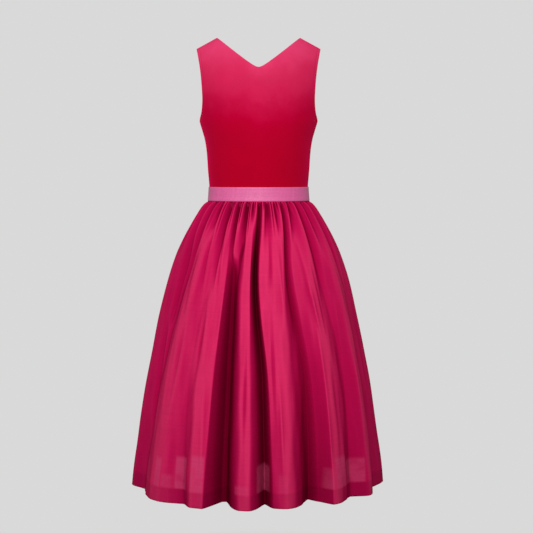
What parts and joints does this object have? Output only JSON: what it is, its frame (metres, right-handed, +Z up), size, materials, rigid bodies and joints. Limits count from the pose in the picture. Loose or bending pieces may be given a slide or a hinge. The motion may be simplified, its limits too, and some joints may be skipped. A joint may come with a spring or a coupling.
{
  "type": "dirndl",
  "caption": "Sleeveless knee-length dirndl, worn and hollow, with a V-neck velvet bodice, a satin waistband and a gathered cotton skirt.",
  "frame": {"origin": "midway between the points where the shoulder seams meet the neck, at their height, over the side seams", "axes": "+Z up, -Y the wearer's back, +Y the wearer's front, +X the wearer's right"},
  "size_m": [0.6386, 0.5388, 1.1162],
  "materials": {
    "velvet": "red cotton velvet, short nap with a pink sheen where it turns to the light",
    "satin": "pink satin ribbon",
    "skirt_cotton": "fine raspberry cotton and silk weave, soft sheen, slightly sheer",
    "lining": "plain raspberry lining, matt"
  },
  "bodies": {
    "root": {"bodice_back": "velvet", "bodice_front_left": "velvet", "bodice_front_right": "velvet", "waistband": "satin", "skirt_back": "skirt_cotton", "skirt_front_left": "skirt_cotton", "skirt_front_right": "skirt_cotton", "skirt_lining": "lining"}
  },
  "joints": []
}
